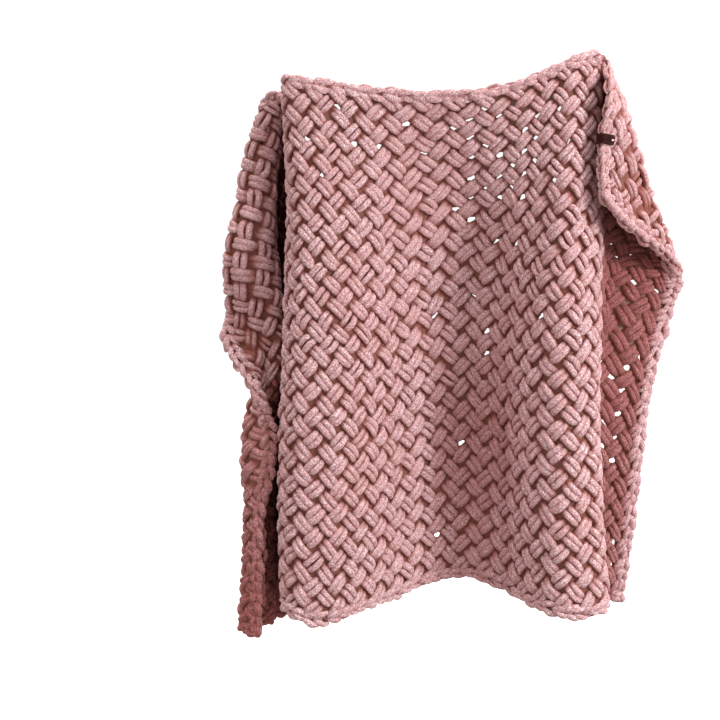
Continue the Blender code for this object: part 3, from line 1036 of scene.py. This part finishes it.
def chenille_material():
    """Matt chenille: a short thick pile that stands out in tufts, with painted shade in the
    knit and folds.
    """
    n = Nodes("rose chenille")
    grain = n.attribute("grain", "Vector")
    shade = n.attribute("shade")
    fold_shade = n.attribute("fold_shade")
    place = n.add("ShaderNodeTexCoord").outputs["Object"]
    rings = n.add("ShaderNodeVectorMath", operation="MULTIPLY")
    n.set(rings.inputs[0], grain)
    n.set(rings.inputs[1], RINGS_ALONG)
    pile = n.noise(rings.outputs[0], scale=250.0, detail=3.0, roughness=0.65)
    specks = n.noise(grain, scale=310.0, detail=2.0, roughness=0.6)
    tufts = n.noise(grain, scale=90.0, detail=2.0, roughness=0.5)
    dye = n.noise(place, scale=7.0, detail=2.0, roughness=0.5)
    lit = n.mix(n.remap(pile, (0.38, 0.65)), CHENILLE_BODY, CHENILLE_TIPS)
    lit = n.mix(n.remap(specks, (0.56, 0.68), (0.0, 0.50)), lit, CHENILLE_SHADE)
    lit = n.mix(n.remap(pile, (0.32, 0.44), (0.45, 0.0)), lit, CHENILLE_SHADE)
    lit = n.mix(n.remap(tufts, (0.40, 0.62), (0.0, 0.35)), lit, CHENILLE_BODY)
    dye_and_fold_shade = n.mix(n.remap(dye, (0.3, 0.7), (0.0, 0.30)), lit, CHENILLE_WARM)
    # Painted shade: the folds darken the dyed colour
    dye_and_fold_shade = n.mix(n.remap(fold_shade, (0.0, 0.5)), dye_and_fold_shade, FOLD_SHADE_WARM, "MULTIPLY")
    dye_and_fold_shade = n.mix(n.remap(fold_shade, (0.5, 1.0)), dye_and_fold_shade, FOLD_SHADE_DARK, "MULTIPLY")
    # Painted shade: the yarn's sides and its parts down in the knit ease to the crevice colour
    colour = n.mix(n.remap(shade, (-0.05, 1.10)), CHENILLE_CREVICE_SHADE, dye_and_fold_shade)
    relief = n.math("ADD", n.math("MULTIPLY", pile, 0.8), n.math("MULTIPLY", tufts, 0.7))
    return n.finish(
        Base_Color=colour,
        Roughness=n.remap(pile, (0.2, 0.8), (1.0, 0.86)),
        Specular_IOR_Level=0.06,
        Sheen_Weight=0.10,
        Sheen_Roughness=0.5,
        Sheen_Tint=PILE_SHEEN,
        Normal=n.bump(relief, strength=0.9, distance=0.0024),
    )


def ground_material():
    """The yarn deep between the strands, in their shade, and paler where light comes in."""
    n = Nodes("rose chenille in the knit")
    grain = n.attribute("grain", "Vector")
    pulled = n.attribute("shade")
    fuzz = n.noise(grain, scale=260.0, detail=4.0, roughness=0.65)
    spots = n.noise(grain, scale=34.0, detail=3.0, roughness=0.6)
    opened = n.remap(pulled, (0.05, 0.7), (0.10, 1.0))
    pale = n.math("MULTIPLY", opened, n.remap(spots, (0.3, 0.65)))
    colour = n.mix(pale, GROUND_DARK, GROUND_PALE)
    colour = n.mix(n.remap(fuzz, (0.4, 0.75), (0.0, 0.5)), colour, GROUND_DARK)
    return n.finish(
        Base_Color=colour,
        Roughness=n.remap(fuzz, (0.2, 0.8), (1.0, 0.9)),
        Specular_IOR_Level=0.1,
        Normal=n.bump(fuzz, strength=0.9, distance=0.003),
    )


def leather_material():
    """Dark brown leather with a fine pebbled grain, worn paler at random along its edges."""
    n = Nodes("dark brown leather")
    place = n.add("ShaderNodeTexCoord").outputs["Object"]
    pebbles = n.add("ShaderNodeTexVoronoi", {"Vector": place, "Scale": 1100.0})
    wear = n.noise(place, scale=130.0, detail=5.0, roughness=0.7)
    pores = n.noise(place, scale=2400.0, detail=3.0, roughness=0.6)
    worn = n.add("ShaderNodeNewGeometry").outputs["Pointiness"]
    edge = n.math("MULTIPLY", n.remap(worn, (0.52, 0.62)), n.remap(wear, (0.35, 0.65)))
    colour = n.mix(n.remap(wear, (0.3, 0.7)), LEATHER_DARK, LEATHER_BROWN)
    colour = n.mix(edge, colour, LEATHER_WORN)
    relief = n.math("ADD", pebbles.outputs["Distance"], n.math("MULTIPLY", pores, 0.4))
    return n.finish(
        Base_Color=colour,
        Roughness=n.remap(wear, (0.3, 0.7), (0.50, 0.68)),
        Specular_IOR_Level=0.06,
        Normal=n.bump(relief, strength=0.5, distance=0.0004),
    )


def nickel_material():
    """Nickel with fine turned lines and a little tarnish."""
    n = Nodes("nickel")
    place = n.add("ShaderNodeTexCoord").outputs["Object"]
    lines = n.noise(place, scale=5200.0, detail=2.0, roughness=0.5)
    tarnish = n.noise(place, scale=420.0, detail=3.0, roughness=0.6)
    colour = n.mix(n.remap(tarnish, (0.4, 0.75)), NICKEL_CLEAN, NICKEL_TARNISHED)
    return n.finish(
        Base_Color=colour,
        Metallic=1.0,
        Roughness=n.remap(lines, (0.3, 0.7), (0.40, 0.55)),
        Normal=n.bump(lines, strength=0.25, distance=0.0001),
    )


def floor_material():
    """A pale matt floor with faint clouds and a fine tooth."""
    n = Nodes("pale floor")
    place = n.add("ShaderNodeTexCoord").outputs["Object"]
    cloud = n.noise(place, scale=3.0, detail=3.0, roughness=0.5)
    fine = n.noise(place, scale=260.0, detail=2.0, roughness=0.5)
    return n.finish(
        Base_Color=n.mix(n.remap(cloud, (0.3, 0.7)), FLOOR_LIGHT, FLOOR_SHADE),
        Roughness=n.remap(fine, (0.3, 0.7), (0.75, 0.9)),
        Specular_IOR_Level=0.2,
        Normal=n.bump(fine, strength=0.15, distance=0.0005),
    )


def floor():
    """The floor below the hanging cloth, which bounces no light onto it."""
    signs = ((-1, -1), (1, -1), (1, 1), (-1, 1))
    corners = [(x * FLOOR_HALF, y * FLOOR_HALF, FLOOR_Z) for x, y in signs]
    mesh = bpy.data.meshes.new("floor")
    mesh.from_pydata(corners, [], [(0, 1, 2, 3)])
    mesh.materials.append(floor_material())
    item = bpy.data.objects.new("floor", mesh)
    bpy.context.scene.collection.objects.link(item)
    item.visible_diffuse = False


def area_light(name, place, aim, size, power, colour):
    """A round lamp at a place, turned towards what it is aimed at."""
    lamp = bpy.data.lights.new(name, "AREA")
    lamp.shape = "DISK"
    lamp.size = size
    lamp.energy = power
    lamp.color = colour
    item = bpy.data.objects.new(name, lamp)
    item.location = place
    item.rotation_euler = (Vector(aim) - Vector(place)).to_track_quat("-Z", "Y").to_euler()
    bpy.context.scene.collection.objects.link(item)


def surround():
    """The world: white where it is seen, and as a light dim all round and bright overhead."""
    world = bpy.data.worlds.new("studio")
    world.use_nodes = True
    tree = world.node_tree
    tree.nodes.clear()
    add = tree.nodes.new
    link = tree.links.new
    place = add("ShaderNodeTexCoord")
    split = add("ShaderNodeSeparateXYZ")
    link(place.outputs["Generated"], split.inputs["Vector"])
    strengths = []
    for ends, values in (
        ((-1.0, 1.0), (SURROUND_LOW, SURROUND_HIGH)),
        ((OVERHEAD_SINE - OVERHEAD_EDGE, OVERHEAD_SINE + OVERHEAD_EDGE), (0.0, OVERHEAD)),
    ):
        ramp = add("ShaderNodeMapRange")
        link(split.outputs["Z"], ramp.inputs["Value"])
        for key, number in zip(RANGE_INPUTS, ends + values):
            ramp.inputs[key].default_value = number
        strengths.append(ramp.outputs["Result"])
    total = add("ShaderNodeMath")
    total.operation = "ADD"
    for socket, strength in zip(total.inputs, strengths):
        link(strength, socket)
    lighting = add("ShaderNodeBackground")
    link(total.outputs[0], lighting.inputs["Strength"])
    lighting.inputs["Color"].default_value = SURROUND_TINT
    seen = add("ShaderNodeBackground")
    seen.inputs["Color"].default_value = WHITE
    seen.inputs["Strength"].default_value = SURROUND_SEEN
    path = add("ShaderNodeLightPath")
    both = add("ShaderNodeMixShader")
    link(path.outputs["Is Camera Ray"], both.inputs[0])
    link(lighting.outputs[0], both.inputs[1])
    link(seen.outputs[0], both.inputs[2])
    link(both.outputs[0], add("ShaderNodeOutputWorld").inputs["Surface"])
    return world


def studio():
    """A white surround, a soft key light at the front right and a broad one behind."""
    scene = bpy.context.scene
    scene.world = surround()
    scene.view_settings.view_transform = "Standard"
    for light in LIGHTS:
        area_light(*light)


def camera():
    """The level camera of the photograph, with its off-centre frame as a lens shift."""
    lens = bpy.data.cameras.new("camera")
    lens.sensor_width = SENSOR_WIDTH
    lens.lens = CAMERA_FOCAL_PIXELS / PHOTO_PIXELS * SENSOR_WIDTH
    lens.shift_x = 0.5 - CAMERA_CENTRE[0] / PHOTO_PIXELS
    lens.shift_y = CAMERA_CENTRE[1] / PHOTO_PIXELS - 0.5
    item = bpy.data.objects.new("camera", lens)
    item.location = CAMERA_PLACE
    item.rotation_euler = (math.pi / 2, 0, 0)
    bpy.context.scene.collection.objects.link(item)
    bpy.context.scene.camera = item


def dress():
    """The whole visual model: strands, edge chains, ground, and the tab's finish."""
    rng = np.random.default_rng(SEED)
    chenille = chenille_material()
    strands = knit(chenille, rng)
    chains = edges(chenille, rng)
    ground = knit_ground(ground_material(), rng)
    for piece in [ground, *strands, *chains]:
        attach(piece, "root")
    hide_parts("blanket")
    finishes = {"label": leather_material()}
    finishes["rivet_face"] = finishes["rivet_back"] = nickel_material()
    for node, material in finishes.items():
        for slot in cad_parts[node].material_slots:
            slot.material = material


camera()
studio()
floor()
dress()
